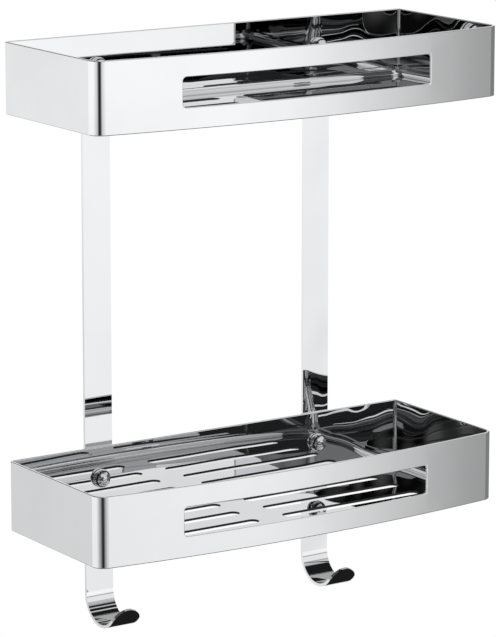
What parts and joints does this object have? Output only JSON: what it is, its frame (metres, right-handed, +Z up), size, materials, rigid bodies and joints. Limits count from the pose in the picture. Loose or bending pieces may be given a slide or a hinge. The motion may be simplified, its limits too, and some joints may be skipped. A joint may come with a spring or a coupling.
{
  "type": "shower caddy",
  "caption": "Two-tier wall-mounted shower caddy: bowed chrome baskets with slotted floors on flat straps whose lower ends bend into hooks.",
  "frame": {"origin": "on the wall plane, midway between the two upper fixings", "axes": "+Z up, +Y into the wall, +X to the right as seen from the room"},
  "size_m": [0.3, 0.124, 0.3792],
  "materials": {
    "polished_steel": "mirror polish",
    "stud_steel": "bright zinc",
    "moulded_plate": "moulded satin",
    "washer_rubber": "soft black",
    "adhesive": "soft translucent"
  },
  "bodies": {
    "caddy": {"upper_band": "polished_steel", "lower_band": "polished_steel", "upper_floor": "polished_steel", "lower_floor": "polished_steel", "left_strap": "polished_steel", "right_strap": "polished_steel", "upper_left_adhesive_pad": "adhesive", "upper_left_wall_plate": "moulded_plate", "upper_left_stud": "stud_steel", "upper_right_adhesive_pad": "adhesive", "upper_right_wall_plate": "moulded_plate", "upper_right_stud": "stud_steel", "lower_left_adhesive_pad": "adhesive", "lower_left_wall_plate": "moulded_plate", "lower_left_stud": "stud_steel", "lower_right_adhesive_pad": "adhesive", "lower_right_wall_plate": "moulded_plate", "lower_right_stud": "stud_steel"},
    "upper_left_washer": {"upper_left_washer": "washer_rubber"},
    "upper_left_dome_nut": {"upper_left_dome_nut": "polished_steel"},
    "upper_right_washer": {"upper_right_washer": "washer_rubber"},
    "upper_right_dome_nut": {"upper_right_dome_nut": "polished_steel"},
    "lower_left_washer": {"lower_left_washer": "washer_rubber"},
    "lower_left_dome_nut": {"lower_left_dome_nut": "polished_steel"},
    "lower_right_washer": {"lower_right_washer": "washer_rubber"},
    "lower_right_dome_nut": {"lower_right_dome_nut": "polished_steel"}
  },
  "joints": [
    {"name": "upper_left_nut_travel", "type": "slide", "parent": "caddy", "child": "upper_left_washer", "axis": [0, -1, 0], "range_m": [0, 0.0035]},
    {"name": "upper_left_nut_turn", "type": "hinge", "parent": "upper_left_washer", "child": "upper_left_dome_nut", "pos_m": [-0.084, -0.0084, 0], "axis": [0, -1, 0], "range_deg": [0, 1260]},
    {"name": "upper_right_nut_travel", "type": "slide", "parent": "caddy", "child": "upper_right_washer", "axis": [0, -1, 0], "range_m": [0, 0.0035]},
    {"name": "upper_right_nut_turn", "type": "hinge", "parent": "upper_right_washer", "child": "upper_right_dome_nut", "pos_m": [0.084, -0.0084, 0], "axis": [0, -1, 0], "range_deg": [0, 1260]},
    {"name": "lower_left_nut_travel", "type": "slide", "parent": "caddy", "child": "lower_left_washer", "axis": [0, -1, 0], "range_m": [0, 0.0035]},
    {"name": "lower_left_nut_turn", "type": "hinge", "parent": "lower_left_washer", "child": "lower_left_dome_nut", "pos_m": [-0.084, -0.0084, -0.265], "axis": [0, -1, 0], "range_deg": [0, 1260]},
    {"name": "lower_right_nut_travel", "type": "slide", "parent": "caddy", "child": "lower_right_washer", "axis": [0, -1, 0], "range_m": [0, 0.0035]},
    {"name": "lower_right_nut_turn", "type": "hinge", "parent": "lower_right_washer", "child": "lower_right_dome_nut", "pos_m": [0.084, -0.0084, -0.265], "axis": [0, -1, 0], "range_deg": [0, 1260]}
  ],
  "couplings": [
    {"joint": "upper_left_nut_turn", "follows": "upper_left_nut_travel", "rad_per_m": 6283.1},
    {"joint": "upper_right_nut_turn", "follows": "upper_right_nut_travel", "rad_per_m": 6283.1},
    {"joint": "lower_left_nut_turn", "follows": "lower_left_nut_travel", "rad_per_m": 6283.1},
    {"joint": "lower_right_nut_turn", "follows": "lower_right_nut_travel", "rad_per_m": 6283.1}
  ]
}
